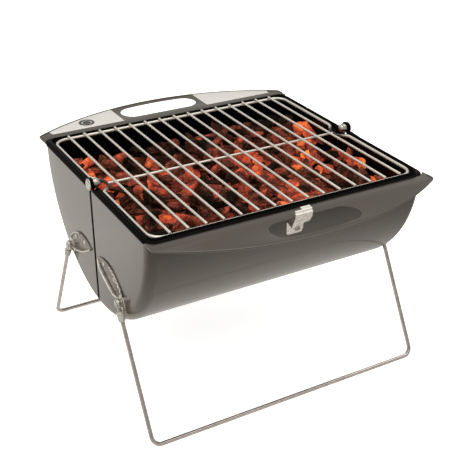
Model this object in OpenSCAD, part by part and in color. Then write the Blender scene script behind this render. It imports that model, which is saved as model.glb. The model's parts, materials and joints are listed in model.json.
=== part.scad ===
// Folding camp grill: a drum split into a front and a rear half that hinge at both ends,
// a lift-off wire cooking grate, and a U-shaped wire leg under each half.
// Units are millimetres. +Z is up, +Y is towards the rear half, X runs along the hinge.
// The origin is on the ground, under the middle of the hinge axis.

/* [Body] */
// Length of the black rim along X
rim_len = 430; // [380:1:480]
// Depth of the black rim from front to rear
rim_depth = 382; // [360:1:420]
// Height of the rim plane above the ground
rim_z = 309; // [290:1:340]
// Outer radius of the drum
drum_r = 188.5; // [180:0.5:189]
// Radius of the drum's rounded end edges
edge_r = 15; // [6:1:20]
// Thickness of the sheet metal
sheet = 0.8; // [0.8:0.1:1.2]
// Half the gap between the two halves at the split
split_gap = 3.5; // [2:0.5:5]
// Height of the hinge axis above the rim plane
pivot_up = 7; // [6.9:0.1:9]

/* [Rim] */
// Height of the rim's outer band
band_h = 3; // [2:0.5:4]
// Height of the raised lip above the rim plane
lip_h = 6.8; // [5:0.1:6.8]
// Width of the flat step outside the lip
lip_inset = 7; // [5:0.5:8]
// Thickness of the raised lip
lip_t = 2.5; // [1.5:0.5:4]
// Height of the low wall that closes the liner at the split, below the rim plane
split_wall_drop = 46; // [30:1:80]

/* [Handles] */
// Furthest reach of the handle flange from the hinge axis, at the middle
wing_reach = 270.5; // [262:0.1:280]
// Radius of the flange's outer arc
wing_r = 400; // [390:1:440]
// Half the length of the flange
wing_half = 216; // [210:1:225]
// Radius of the flange's rounded tips
tip_r = 9; // [4:1:14]
// Height of the flange's top above the rim plane
wing_rise = 3; // [2:0.5:3.5]
// Width of the hem along the flange's edge
hem_w = 2.4; // [1.5:0.1:4]
// Height of the hem above the flange
hem_h = 1.6; // [0.5:0.1:2.5]
// Radius of the hand hole's rounded ends
hole_end_r = 21.1; // [20:0.1:21.2]
// Width of the strip between the hand hole and the outer edge
outer_strip = 12; // [9:0.5:12]
// Distance of the hand hole's inner edge from the hinge axis
hole_inner_y = 213.5; // [208:0.5:214]

/* [Legs] */
// Radius of the leg wire
leg_r = 3; // [2.5:0.5:4]
// Distance of the foot bar from the middle plane
foot_y = 192.3; // [180:0.1:210]
// Distance of the leg pivot from the middle plane
leg_pivot_y = 94; // [85:1:105]
// Depth of the leg pivot below the rim plane
leg_pivot_drop = 131; // [120:1:140]
// Half the distance between the two sides of a leg
leg_half = 220.5; // [220.5:0.5:224]
// Centreline radius of the bends at the foot bar
leg_bend_r = 15; // [10:1:25]

/* [Grate] */
// Half the length of the grate frame, on the wire's centreline
grate_half_x = 202.3; // [195:0.1:202.6]
// Half the depth of the grate frame, on the wire's centreline
grate_half_y = 178; // [170:0.5:179]
// Radius of the frame wire
frame_r = 2.25; // [2:0.05:2.5]
// Radius of the bars and the cross bar
bar_r = 1.8; // [1.5:0.1:2]
// Number of bars
bar_count = 15; // [9:1:19]
// Distance of the outermost bars from the middle
bar_span = 178; // [150:1:185]
// How far the frame steps inwards at each hinge
jog_in = 13.8; // [12:0.1:16]

/* [Latch] */
// The latch screw's place along X
latch_x = -17; // [-45:1:0]
// Depth of the latch screw below the rim plane
latch_drop = 10.7; // [9.5:0.1:13]
// Radius of the latch screw
latch_pin_r = 2; // [1.5:0.1:2.5]

/* [Hidden] */
$fn = 64;

// Colours
shell_grey = [0.36, 0.35, 0.34];
enamel_black = [0.05, 0.05, 0.05];
bright_wire = [0.80, 0.79, 0.76];
plate_silver = [0.78, 0.77, 0.75];
plastic_grey = [0.62, 0.61, 0.57];
coal_red = [0.60, 0.16, 0.08];
grate_dark = [0.22, 0.22, 0.22];

// Body
rim_half_x = rim_len / 2;
rim_half_y = rim_depth / 2;
rim_corner_r = 16;
end_x = rim_half_x - 1.5;
liner_r = drum_r - 9.3;
liner_x = end_x - 7.1;
liner_edge_r = edge_r - 3;
opening_x = rim_half_x - lip_inset - lip_t;
opening_y = rim_half_y - lip_inset - lip_t;
opening_corner_r = rim_corner_r - lip_inset;
seat_gap = 0.1;
far = 600;

// Hinge
notch_y = 10;
notch_drop = 3;
ear_r = 9;
ear_t = 2.4;
ear_arm = 30;
ear_top = 6.4;
outer_ear_x = rim_half_x - 0.2;
inner_ear_x = outer_ear_x - ear_t - 0.2;
pin_r = 4;
running_gap = 0.05;
pin_head_r = 8.5;
pin_head_t = 2.8;
nut_r = 7;
nut_t = 6;

// Handle flange
wing_cy = wing_reach - wing_r;
tip_x = wing_half - tip_r;
tip_y = wing_cy + sqrt(pow(wing_r - tip_r, 2) - pow(tip_x, 2));
tangent_x = tip_x * wing_r / (wing_r - tip_r);
side_y = 183;
hole_r = wing_r - outer_strip;
hole_end_x = sqrt(
    pow(hole_r - hole_end_r, 2) - pow(hole_inner_y + hole_end_r - wing_cy, 2)
);

// Legs and their brackets
leg_drop = rim_z - leg_pivot_drop - leg_r;
leg_reach = foot_y - leg_pivot_y;
leg_len = sqrt(pow(leg_drop, 2) + pow(leg_reach, 2));
leg_lean = atan(leg_reach / leg_drop);
eye_r = 7.5;
eye_t = 4;
wire_from = 6.2;
pivot_r = 2.6;
bracket_t = 1.5;
bracket_x = end_x + 0.05;
boss_r = 6;
boss_x = leg_half - eye_t / 2 - 0.2;
leaf_start = [12, -100];
leaf_end = [108, -134];
leaf_top_sag = 22;
leaf_bottom_sag = 5;
leaf_lobe_r = 15;
strip_x = 220.3;
rivet_r = 2;
rivet_spots = [[36, -100], [72, -107]];
ferrule_r = 5.3;
ferrule_from = 11;
ferrule_to = 25;

// Grate
frame_z = rim_z + 0.15 + frame_r;
bar_z = frame_z + frame_r + bar_r + 0.02;
cross_z = bar_z - 2 * bar_r - 0.02;
jog_x = grate_half_x - jog_in;
jog_y = 20;

// Firebox
fire_z = -84;
fire_rod_r = 2;
fire_pitch = 26;
coal_top = -30;

// Latch
latch_y = -218;
latch_t = 1.2;
hook_top = 22.8;
hook_reach = 8;
hook_root = 4.2;
hook_from = 8.6;
tab_t = 0.8;
tab_y = latch_y + latch_t / 2 + 0.06;

// ---- shared shapes ----

// A rectangle centred on the origin with rounded corners
module rounded_rect(hx, hy, r) {
    square([2 * hx, 2 * (hy - r)], center = true);
    square([2 * (hx - r), 2 * hy], center = true);
    for (sx = [-1, 1], sy = [-1, 1])
        translate([sx * (hx - r), sy * (hy - r)]) circle(r = r);
}

// Radius against length: half the section of a drum with rounded end edges
module drum_profile(r, hx, er) {
    translate([0, -hx]) square([r - er, 2 * hx]);
    translate([0, er - hx]) square([r, 2 * (hx - er)]);
    for (s = [-1, 1]) translate([r - er, s * (hx - er)]) circle(r = er);
}

// A quarter of a drum's skin, from straight down to +Y
module quarter_skin(r, hx, er) {
    rotate([0, 90, 0]) rotate_extrude(angle = 90) intersection() {
        square([far, far * 2], center = true);
        difference() {
            intersection() {
                drum_profile(r, hx, er);
                translate([0, -far]) square([far, 2 * far]);
            }
            drum_profile(r - sheet, hx - sheet, er - sheet);
        }
    }
}

// Everything on the wrong side of the split, and the clearance round the hinge
module split_and_notch() {
    translate([-far / 2, -far, -far / 2]) cube([far, far + split_gap, far]);
    for (s = [-1, 1])
        translate([s * (rim_half_x - 4) - 9, -1, -notch_drop]) cube([18, notch_y + 1, 30]);
}

// A straight wire between two points of the XY plane
module rod(a, b, r) {
    d = b - a;
    translate([a.x, a.y, 0]) rotate([0, 0, atan2(d.y, d.x)])
        rotate([0, 90, 0]) cylinder(h = norm(d), r = r, $fn = 32);
}

// A round bend at corner p, from direction u to direction v
module bend(p, u, v, bend_r, r) {
    turn = atan2(u.x * v.y - u.y * v.x, u * v);
    start = p - u * bend_r * tan(abs(turn) / 2);
    centre = start + [-u.y, u.x] * sign(turn) * bend_r;
    from = atan2(start.y - centre.y, start.x - centre.x) + min(turn, 0);
    translate([centre.x, centre.y, 0]) rotate([0, 0, from])
        rotate_extrude(angle = abs(turn)) translate([bend_r, 0]) circle(r = r, $fn = 32);
}

function unit(v) = v / norm(v);
function turn_at(pts, i) = let (
    n = len(pts),
    u = unit(pts[i] - pts[(i + n - 1) % n]),
    v = unit(pts[(i + 1) % n] - pts[i])
) abs(atan2(u.x * v.y - u.y * v.x, u * v));
function cut_at(pts, radii, i) = radii[i] * tan(turn_at(pts, i) / 2);

// A closed wire through the points, bent to a radius at each one
module wire_loop(pts, radii, r) {
    n = len(pts);
    for (i = [0 : n - 1]) {
        j = (i + 1) % n;
        k = (i + n - 1) % n;
        d = unit(pts[j] - pts[i]);
        rod(pts[i] + d * cut_at(pts, radii, i), pts[j] - d * cut_at(pts, radii, j), r);
        bend(pts[i], unit(pts[i] - pts[k]), d, radii[i], r);
    }
}

// Radius against length of a domed head of radius r and height h
module dome_profile(r, h) {
    ball_r = (r * r + h * h) / (2 * h);
    intersection() {
        translate([0, h - ball_r]) circle(r = ball_r);
        square([r, h]);
    }
}

// Copies for the left and the right end
module both_ends() {
    for (s = [0, 1]) mirror([s, 0, 0]) children();
}

// Half modules are drawn on the +Y side with z = 0 at the rim plane
module rear_place() { translate([0, 0, rim_z]) children(); }
module front_place() { translate([0, 0, rim_z]) mirror([0, 1, 0]) children(); }

// ---- shells ----

// Outline of the handle flange, drawn in by a distance all round
module wing_outline(in) {
    intersection() {
        translate([0, wing_cy]) circle(r = wing_r - in, $fn = 180);
        translate([-tangent_x, side_y]) square([2 * tangent_x, 100]);
    }
    translate([in - wing_half, side_y]) square([2 * (wing_half - in), tip_y - side_y]);
    for (s = [-1, 1]) translate([s * tip_x, tip_y]) circle(r = tip_r - in);
}

// The hand hole: straight inner edge, arched outer edge, rounded ends
module hand_hole() {
    intersection() {
        translate([0, wing_cy]) circle(r = hole_r, $fn = 180);
        translate([-hole_end_x, hole_inner_y]) square([2 * hole_end_x, 80]);
    }
    for (s = [-1, 1])
        translate([s * hole_end_x, hole_inner_y + hole_end_r]) circle(r = hole_end_r);
}

// The hem that stands up along the flange's outer arc, tips and short sides
module wing_hem() {
    translate([0, 0, wing_rise - sheet]) linear_extrude(sheet + hem_h) difference() {
        wing_outline(0);
        wing_outline(hem_w);
        translate([-far, side_y - 1]) square([2 * far, rim_half_y + 1 - side_y]);
    }
}

// The rim's outline grown by a distance all round
module rim_outline(grow) {
    rounded_rect(rim_half_x + grow, rim_half_y + grow, rim_corner_r + grow);
}

// The flange: a ledge under the rim, a step up round it, and the raised wing
module flange() {
    translate([0, 0, -sheet]) linear_extrude(sheet) difference() {
        union() {
            square([2 * (rim_half_x - 1.5), 2 * (rim_half_y - 0.5)], center = true);
            intersection() {
                rim_outline(0.05 + sheet);
                wing_outline(0);
            }
        }
        rounded_rect(end_x - sheet, drum_r - sheet, edge_r - sheet);
    }
    translate([0, 0, -sheet]) linear_extrude(sheet + wing_rise) intersection() {
        wing_outline(0);
        difference() {
            rim_outline(0.05 + sheet);
            rim_outline(0.05);
        }
    }
    translate([0, 0, wing_rise - sheet]) linear_extrude(sheet) difference() {
        wing_outline(0);
        rim_outline(0.05);
        hand_hole();
    }
}

module shell_half() {
    difference() {
        union() {
            quarter_skin(drum_r, end_x, edge_r);
            flange();
            wing_hem();
        }
        split_and_notch();
        for (s = [-1, 1])
            translate([s * end_x - 5, leg_pivot_y, -leg_pivot_drop]) rotate([0, 90, 0])
                cylinder(h = 10, r = pivot_r + running_gap);
        for (s = [-1, 1], p = rivet_spots)
            translate([s * end_x - 5, p.x, p.y]) rotate([0, 90, 0])
                cylinder(h = 10, r = rivet_r + running_gap);
    }
}

module front_shell() { color(shell_grey) front_place() shell_half(); }
module rear_shell() { color(shell_grey) rear_place() shell_half(); }

// ---- liners ----

// The stepped rim: an outer band, a raised lip, and a ledge for the grate
module liner_rim() {
    translate([0, 0, seat_gap]) linear_extrude(band_h - seat_gap) difference() {
        rounded_rect(rim_half_x, rim_half_y, rim_corner_r);
        rounded_rect(opening_x, opening_y, opening_corner_r);
    }
    translate([0, 0, band_h - 0.5]) linear_extrude(lip_h - band_h + 0.5) difference() {
        rounded_rect(opening_x + lip_t, opening_y + lip_t, opening_corner_r + lip_t);
        rounded_rect(opening_x, opening_y, opening_corner_r);
    }
    translate([0, 0, seat_gap - sheet]) linear_extrude(sheet) difference() {
        rounded_rect(opening_x + lip_t, opening_y + lip_t, opening_corner_r + lip_t);
        rounded_rect(liner_x - sheet, liner_r - sheet, liner_edge_r - sheet);
    }
}

module liner_half() {
    difference() {
        union() {
            quarter_skin(liner_r, liner_x, liner_edge_r);
            liner_rim();
        }
        split_and_notch();
    }
    intersection() {
        translate([-liner_x, split_gap, -liner_r])
            cube([2 * liner_x, sheet, liner_r - split_wall_drop]);
        rotate([0, 90, 0]) rotate_extrude(angle = 90)
            intersection() {
                drum_profile(liner_r - sheet / 2, liner_x - sheet / 2, liner_edge_r);
                translate([0, -far]) square([far, 2 * far]);
            }
    }
}

module front_liner() { color(enamel_black) front_place() liner_half(); }
module rear_liner() { color(enamel_black) rear_place() liner_half(); }

// ---- firebox ----

// Rods that hold the charcoal above the ash
module fire_grate_half() {
    inner_r = liner_r - sheet;
    rod_end = sqrt(inner_r * inner_r - fire_z * fire_z) - 4;
    count = floor((liner_x - 20) / fire_pitch);
    for (i = [-count : count])
        translate([i * fire_pitch, 9, fire_z]) rotate([-90, 0, 0])
            cylinder(h = rod_end - 9, r = fire_rod_r);
    for (y = [32, rod_end - 30])
        translate([-liner_x + 14, y, fire_z - 1.6 * fire_rod_r]) rotate([0, 90, 0])
            cylinder(h = 2 * (liner_x - 14), r = fire_rod_r);
}

// The heaped charcoal, as one solid that follows the drum's curve
module charcoal_half() {
    bottom = fire_z + fire_rod_r + 0.1;
    translate([-liner_x + 16, 0, 0]) rotate([90, 0, 90]) linear_extrude(2 * (liner_x - 16))
        polygon([
            [8, bottom], [146, bottom], [158, -60], [166, coal_top - 8],
            [150, coal_top], [8, coal_top]
        ]);
}

module front_fire_grate() { color(grate_dark) front_place() fire_grate_half(); }
module rear_fire_grate() { color(grate_dark) rear_place() fire_grate_half(); }
module front_charcoal() { color(coal_red) front_place() charcoal_half(); }
module rear_charcoal() { color(coal_red) rear_place() charcoal_half(); }

// ---- hinge ----

// One ear: an eye round the hinge axis with an arm along the rim, outer face at x
module hinge_ear(x, bore_r) {
    translate([x - ear_t, 0, 0]) rotate([90, 0, 90]) linear_extrude(ear_t) difference() {
        union() {
            translate([0, pivot_up]) circle(r = ear_r);
            translate([0, band_h]) square([ear_arm, ear_top - band_h]);
        }
        translate([0, pivot_up]) circle(r = bore_r);
    }
}

module front_hinge_ears() {
    color(enamel_black) front_place() both_ends() hinge_ear(outer_ear_x, pin_r);
}

module rear_hinge_ears() {
    color(enamel_black) rear_place() both_ends() hinge_ear(inner_ear_x, pin_r + running_gap);
}

module hinge_pins() {
    pin_len = outer_ear_x - inner_ear_x + ear_t + nut_t + 1.2;
    color(bright_wire) translate([0, 0, rim_z + pivot_up]) both_ends()
        translate([outer_ear_x + 0.05, 0, 0]) rotate([0, 90, 0]) rotate_extrude() {
            translate([0, -pin_len]) square([pin_r, pin_len + 0.2]);
            square([pin_head_r, 1.4]);
            translate([0, 1.3]) dome_profile(pin_head_r - 0.6, pin_head_t - 1.3);
        }
}

module hinge_nuts() {
    nut_face = inner_ear_x - ear_t - 0.2;
    color(bright_wire) translate([0, 0, rim_z + pivot_up]) both_ends()
        translate([nut_face, 0, 0]) rotate([0, -90, 0]) rotate_extrude() difference() {
            union() {
                square([nut_r, nut_t]);
                translate([0, nut_t - 0.1]) dome_profile(nut_r - 0.8, 4.5);
            }
            translate([0, -1]) square([pin_r, nut_t + 2]);
        }
}

// ---- leg brackets ----

// Centre of the circle through a and b whose bulge to the left of a-to-b is sag
function bulge_r(a, b, sag) = (pow(norm(b - a) / 2, 2) + sag * sag) / (2 * sag);
function bulge_centre(a, b, sag, side) = let (
    d = unit(b - a),
    left = [-d.y, d.x]
) (a + b) / 2 + left * side * (sag - bulge_r(a, b, sag));

// The leaf-shaped plate between an upper and a lower arc
module leaf_outline() {
    intersection() {
        translate(bulge_centre(leaf_start, leaf_end, leaf_top_sag, 1))
            circle(r = bulge_r(leaf_start, leaf_end, leaf_top_sag));
        translate(bulge_centre(leaf_start, leaf_end, leaf_bottom_sag, -1))
            circle(r = bulge_r(leaf_start, leaf_end, leaf_bottom_sag), $fn = 180);
    }
    translate([leg_pivot_y, -leg_pivot_drop]) circle(r = leaf_lobe_r);
}

// The raised strip that follows the leaf's lower arc
module leaf_strip() {
    r = bulge_r(leaf_start, leaf_end, leaf_bottom_sag);
    intersection() {
        translate(bulge_centre(leaf_start, leaf_end, leaf_bottom_sag, -1)) difference() {
            circle(r = r, $fn = 180);
            circle(r = r - 1.8, $fn = 180);
        }
        translate([17, -140]) square([61, 60]);
    }
}

// One leg bracket, on the +X end of the +Y half
module leg_bracket() {
    strip_r = bulge_r(leaf_start, leaf_end, leaf_bottom_sag);
    strip_c = bulge_centre(leaf_start, leaf_end, leaf_bottom_sag, -1);
    difference() {
        union() {
            translate([bracket_x, 0, 0]) rotate([90, 0, 90]) {
                linear_extrude(bracket_t) leaf_outline();
                linear_extrude(strip_x - bracket_x) leaf_strip();
            }
            translate([bracket_x, leg_pivot_y, -leg_pivot_drop]) rotate([0, 90, 0])
                cylinder(h = boss_x - bracket_x, r = boss_r);
            for (y = [52 : 7 : 73])
                translate([
                    bracket_x, y, strip_c.y - sqrt(pow(strip_r - 0.9, 2) - pow(y - strip_c.x, 2))
                ]) rotate([0, 90, 0]) cylinder(h = strip_x + 0.9 - bracket_x, r = 1.7);
        }
        translate([bracket_x - 1, leg_pivot_y, -leg_pivot_drop]) rotate([0, 90, 0])
            cylinder(h = 20, r = pivot_r);
        for (p = rivet_spots)
            translate([bracket_x - 1, p.x, p.y]) rotate([0, 90, 0]) cylinder(h = 20, r = rivet_r);
    }
}

// A rivet through the end wall at p = [y, z], with its head at x
module wall_rivet(p, r, x, head_r, head_h) {
    tail_x = end_x - sheet - 0.05;
    translate([tail_x, p.x, p.y]) rotate([0, 90, 0]) rotate_extrude() {
        translate([0, -1]) square([r, x - tail_x + 1.2]);
        translate([0, -1.2]) square([r + 1.6, 1.2]);
        translate([0, x - tail_x]) dome_profile(head_r, head_h);
    }
}

module bracket_rivets_half() {
    both_ends() for (p = rivet_spots)
        wall_rivet(p, rivet_r, bracket_x + bracket_t + 0.02, 3.8, 1.6);
}

module leg_pivots_half() {
    both_ends() wall_rivet(
        [leg_pivot_y, -leg_pivot_drop], pivot_r, leg_half + eye_t / 2 + 0.1, 5.8, 2.4
    );
}

module front_left_leg_bracket() {
    color(bright_wire) front_place() mirror([1, 0, 0]) leg_bracket();
}

module front_right_leg_bracket() { color(bright_wire) front_place() leg_bracket(); }

module rear_left_leg_bracket() {
    color(bright_wire) rear_place() mirror([1, 0, 0]) leg_bracket();
}

module rear_right_leg_bracket() { color(bright_wire) rear_place() leg_bracket(); }
module front_bracket_rivets() { color(bright_wire) front_place() bracket_rivets_half(); }
module rear_bracket_rivets() { color(bright_wire) rear_place() bracket_rivets_half(); }
module front_leg_pivots() { color(bright_wire) front_place() leg_pivots_half(); }
module rear_leg_pivots() { color(bright_wire) rear_place() leg_pivots_half(); }

// ---- legs ----

// Turns the leg's own XY plane so that it hangs from the pivot and leans outwards
module leg_frame() {
    translate([0, leg_pivot_y, -leg_pivot_drop]) rotate([leg_lean - 90, 0, 0]) children();
}

// U-shaped wire: y is the distance along the leg from its pivot
module leg_half_part() {
    leg_frame() {
        difference() {
            union() {
                rod([-leg_half, wire_from], [-leg_half, leg_len - leg_bend_r], leg_r);
                rod([leg_half, wire_from], [leg_half, leg_len - leg_bend_r], leg_r);
                rod([leg_bend_r - leg_half, leg_len], [leg_half - leg_bend_r, leg_len], leg_r);
                bend([-leg_half, leg_len], [0, 1], [1, 0], leg_bend_r, leg_r);
                bend([leg_half, leg_len], [1, 0], [0, -1], leg_bend_r, leg_r);
                for (s = [-1, 1]) translate([s * leg_half - eye_t / 2, 0, 0])
                    rotate([0, 90, 0]) cylinder(h = eye_t, r = eye_r);
            }
            for (s = [-1, 1]) translate([s * leg_half - 6, 0, 0])
                rotate([0, 90, 0]) cylinder(h = 12, r = pivot_r + running_gap);
        }
    }
}

module ferrules_half() {
    leg_frame() for (s = [-1, 1]) translate([s * leg_half, ferrule_from, 0])
        rotate([-90, 0, 0]) difference() {
            cylinder(h = ferrule_to - ferrule_from, r = ferrule_r);
            translate([0, 0, -1]) cylinder(h = ferrule_to, r = leg_r + 0.02);
        }
}

module front_leg() { color(bright_wire) front_place() leg_half_part(); }
module rear_leg() { color(bright_wire) rear_place() leg_half_part(); }
module front_leg_ferrules() { color(plastic_grey) front_place() ferrules_half(); }
module rear_leg_ferrules() { color(plastic_grey) rear_place() ferrules_half(); }

// ---- latch, on the front flange ----

// Angle under the flange's inner strip, with a tab that hangs in the hand hole behind the latch
module latch_lug() {
    top = wing_rise - sheet - 0.05;
    color(shell_grey) translate([latch_x, tab_y, rim_z]) difference() {
        union() {
            translate([-9, 0, top - tab_t]) cube([18, 18, tab_t]);
            translate([-9, 0, -latch_drop]) cube([18, tab_t, latch_drop + top]);
            translate([0, 0, -latch_drop]) rotate([-90, 0, 0]) cylinder(h = tab_t, r = 9);
        }
        translate([0, -5, -latch_drop]) rotate([-90, 0, 0]) cylinder(h = 10, r = latch_pin_r);
    }
}

// Screw the latch turns on: head in front, shank through the tab, nut behind
module latch_screw() {
    tail = latch_t / 2 + 0.06 + tab_t + 0.05;
    color(bright_wire) translate([latch_x, latch_y, rim_z - latch_drop]) rotate([90, 0, 0])
        rotate_extrude() {
            translate([0, -tail - 1]) square([latch_pin_r, tail + 1 + latch_t / 2 + 0.3]);
            translate([0, -tail - 2.2]) square([latch_pin_r + 2, 2.2]);
            translate([0, latch_t / 2 + 0.06]) dome_profile(4.2, 1.8);
        }
}

// Outline of the latch's upright plate, from the screw: a thumb lobe, a notch and a wide riser
module latch_plate_outline() {
    difference() {
        polygon([
            [-15.8, 12.6], [-15.8, -3.5], [-13.3, -6], [3.5, -6], [8.6, -1.5], [9, 6],
            [18, 6.8], [22.8, 12.6], [22.8, hook_top + 0.6], [-2.8, hook_top + 0.6],
            [-2.8, 14], [-7.3, 5], [-7.6, 1.5]
        ]);
        circle(r = latch_pin_r + running_gap);
    }
}

// Clip that turns on the screw; the hook along its top holds the other flange's inner strip
module latch_clip() {
    color(bright_wire) translate([latch_x, latch_y, rim_z - latch_drop]) {
        translate([0, latch_t / 2, 0]) rotate([90, 0, 0])
            linear_extrude(latch_t) latch_plate_outline();
        translate([-2.8, -latch_t / 2, hook_top]) cube([25.6, hook_root + latch_t / 2, latch_t]);
        translate([hook_from, -latch_t / 2, hook_top])
            cube([22.8 - hook_from, hook_reach + latch_t, latch_t]);
        translate([hook_from, hook_reach - 1.4, hook_top + latch_t]) rotate([0, 90, 0])
            cylinder(h = 22.8 - hook_from, r = 1.1, $fn = 24);
    }
}

// ---- plates on the rear flange ----

plate_t = 0.6;
plate_inner_y = 204;
plate_from_x = 74.5;
plate_to_x = 199;
plate_border = 5.5;
badge = [130.6, 225];

// Thin plate between the hand hole's surround and the flange's tip, on the +X side
module nameplate() {
    rear_place() translate([0, 0, wing_rise + 0.02]) linear_extrude(plate_t) intersection() {
        translate([0, wing_cy]) circle(r = wing_r - plate_border, $fn = 180);
        polygon([
            [plate_from_x, plate_inner_y], [plate_to_x, plate_inner_y],
            [plate_to_x, plate_inner_y + 60], [plate_from_x - 1.5, plate_inner_y + 60]
        ]);
    }
}

module nameplate_left() { color(plate_silver) mirror([1, 0, 0]) nameplate(); }
module nameplate_right() { color(plate_silver) nameplate(); }

module ring_badge() {
    color(grate_dark) rear_place() translate([-badge.x, badge.y, wing_rise + plate_t + 0.03])
        rotate_extrude() translate([9, 0]) polygon([[0, 0], [3.4, 0], [2.8, 0.8], [0.6, 0.8]]);
}

// ---- cooking grate ----

// One closed wire that steps inwards round each hinge
module grate_frame() {
    right = [
        [grate_half_x, -grate_half_y], [grate_half_x, -jog_y], [jog_x, -jog_y],
        [jog_x, jog_y], [grate_half_x, jog_y], [grate_half_x, grate_half_y]
    ];
    left = [for (i = [5 : -1 : 0]) [-right[i].x, right[i].y]];
    color(bright_wire) translate([0, 0, frame_z])
        wire_loop(concat(right, left), [20, 5, 5, 5, 5, 20, 20, 5, 5, 5, 5, 20], frame_r);
}

module grate_bars() {
    pitch = 2 * bar_span / (bar_count - 1);
    color(bright_wire) for (i = [0 : bar_count - 1])
        translate([i * pitch - bar_span, -grate_half_y, bar_z]) rotate([-90, 0, 0])
            cylinder(h = 2 * grate_half_y, r = bar_r);
}

module grate_cross_bar() {
    reach = jog_x - frame_r - 0.05;
    color(bright_wire) translate([-reach, 0, cross_z]) rotate([0, 90, 0])
        cylinder(h = 2 * reach, r = bar_r);
}

front_shell();
rear_shell();
front_liner();
rear_liner();
front_fire_grate();
rear_fire_grate();
front_charcoal();
rear_charcoal();
front_hinge_ears();
rear_hinge_ears();
hinge_pins();
hinge_nuts();
front_left_leg_bracket();
front_right_leg_bracket();
rear_left_leg_bracket();
rear_right_leg_bracket();
front_bracket_rivets();
rear_bracket_rivets();
front_leg_pivots();
rear_leg_pivots();
front_leg();
rear_leg();
front_leg_ferrules();
rear_leg_ferrules();
latch_lug();
latch_screw();
latch_clip();
nameplate_left();
nameplate_right();
ring_badge();
grate_frame();
grate_bars();
grate_cross_bar();
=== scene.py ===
"""Folding camp grill: the look of the part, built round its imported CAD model."""

import json
import math
import random

import bmesh
import bpy
from mathutils import Matrix, Vector, noise


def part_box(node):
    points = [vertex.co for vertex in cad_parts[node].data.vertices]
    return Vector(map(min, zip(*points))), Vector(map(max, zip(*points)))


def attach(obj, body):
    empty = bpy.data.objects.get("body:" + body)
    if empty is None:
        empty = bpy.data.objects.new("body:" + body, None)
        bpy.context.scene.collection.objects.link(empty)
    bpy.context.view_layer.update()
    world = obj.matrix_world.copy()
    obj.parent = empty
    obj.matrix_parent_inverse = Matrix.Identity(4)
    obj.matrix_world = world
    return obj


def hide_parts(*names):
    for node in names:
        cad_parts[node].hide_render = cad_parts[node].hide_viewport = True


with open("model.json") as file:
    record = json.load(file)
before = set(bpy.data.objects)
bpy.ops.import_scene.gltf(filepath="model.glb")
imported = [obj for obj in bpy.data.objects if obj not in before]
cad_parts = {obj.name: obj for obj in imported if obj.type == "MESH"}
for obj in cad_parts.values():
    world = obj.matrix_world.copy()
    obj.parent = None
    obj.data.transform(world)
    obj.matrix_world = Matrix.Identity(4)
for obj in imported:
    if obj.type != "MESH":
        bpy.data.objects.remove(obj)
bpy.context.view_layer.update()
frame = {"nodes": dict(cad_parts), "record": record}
record = frame["record"]
scene = bpy.context.scene
MM = 0.001
HALVES = (("rear", "rear_half"), ("front", "front_half"))


# ---------------------------------------------------------------- measures from the CAD

def joint_at(name):
    found = [j for j in record["behaviour"]["joints"] if j["name"] == name][0]
    return Vector(found["pos_m"])


def size_of(node):
    lo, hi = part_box(node)
    return Vector(lo), Vector(hi)


HINGE = joint_at("fold")
LEG_PIVOT = joint_at("rear_leg_fold")
LATCH_PIVOT = joint_at("latch_swing")
SHELL_LO, SHELL_HI = size_of("rear_shell")
LINER_HI = size_of("rear_liner")[1]
LEG_HI = size_of("rear_leg")[1]
PIVOT_RISE = 7 * MM
RIM_Z = HINGE.z - PIVOT_RISE
SPLIT = SHELL_LO.y
DRUM_R = RIM_Z - SHELL_LO.z
END_X = 213.5 * MM
EDGE_R = 15 * MM
SHEET = 0.8 * MM
RIM_X = LINER_HI.x
RIM_Y = LINER_HI.y
WING_X = SHELL_HI.x
WING_REACH = SHELL_HI.y
WING_R = 400 * MM
WING_RISE = 3 * MM
WING_TOP = RIM_Z + WING_RISE
WING_CY = WING_REACH - WING_R
TIP_R = 9 * MM
SIDE_Y = 183 * MM
HOLE_END_R = 21.1 * MM
HOLE_INNER_Y = 213.5 * MM
OUTER_STRIP = 12 * MM
OUTER_EAR_X = 213.6 * MM
INNER_EAR_X = 211.0 * MM
PIN_HEAD_X = 214.9 * MM
NUT_X = 209.6 * MM
LEG_X = LEG_HI.x - 3 * MM
FOOT = Vector((0, LEG_HI.y - 3 * MM, 3 * MM))


# ---------------------------------------------------------------- materials

def new_material(name):
    mat = bpy.data.materials.new(name)
    mat.use_nodes = True
    nodes = mat.node_tree.nodes
    shader = nodes["Principled BSDF"]
    return mat, nodes, mat.node_tree.links, shader


def noise_node(nodes, links, scale, detail=4.0, stretch=(1, 1, 1)):
    place = nodes.new("ShaderNodeTexCoord")
    mapping = nodes.new("ShaderNodeMapping")
    mapping.inputs["Scale"].default_value = stretch
    tex = nodes.new("ShaderNodeTexNoise")
    tex.inputs["Scale"].default_value = scale
    tex.inputs["Detail"].default_value = detail
    links.new(place.outputs["Object"], mapping.inputs["Vector"])
    links.new(mapping.outputs["Vector"], tex.inputs["Vector"])
    return tex


def ramp_node(nodes, links, source, stops):
    ramp = nodes.new("ShaderNodeValToRGB")
    first, last = ramp.color_ramp.elements
    first.position, first.color = stops[0][0], (*stops[0][1], 1)
    last.position, last.color = stops[-1][0], (*stops[-1][1], 1)
    for at, colour in stops[1:-1]:
        ramp.color_ramp.elements.new(at).color = (*colour, 1)
    links.new(source, ramp.inputs["Fac"])
    return ramp


def range_node(nodes, links, source, low, high):
    scale = nodes.new("ShaderNodeMapRange")
    scale.inputs["To Min"].default_value = low
    scale.inputs["To Max"].default_value = high
    links.new(source, scale.inputs["Value"])
    return scale.outputs["Result"]


def bump_from(nodes, links, shader, source, strength, distance):
    bump = nodes.new("ShaderNodeBump")
    bump.inputs["Strength"].default_value = strength
    bump.inputs["Distance"].default_value = distance
    links.new(source, bump.inputs["Height"])
    links.new(bump.outputs["Normal"], shader.inputs["Normal"])
    return bump


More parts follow.
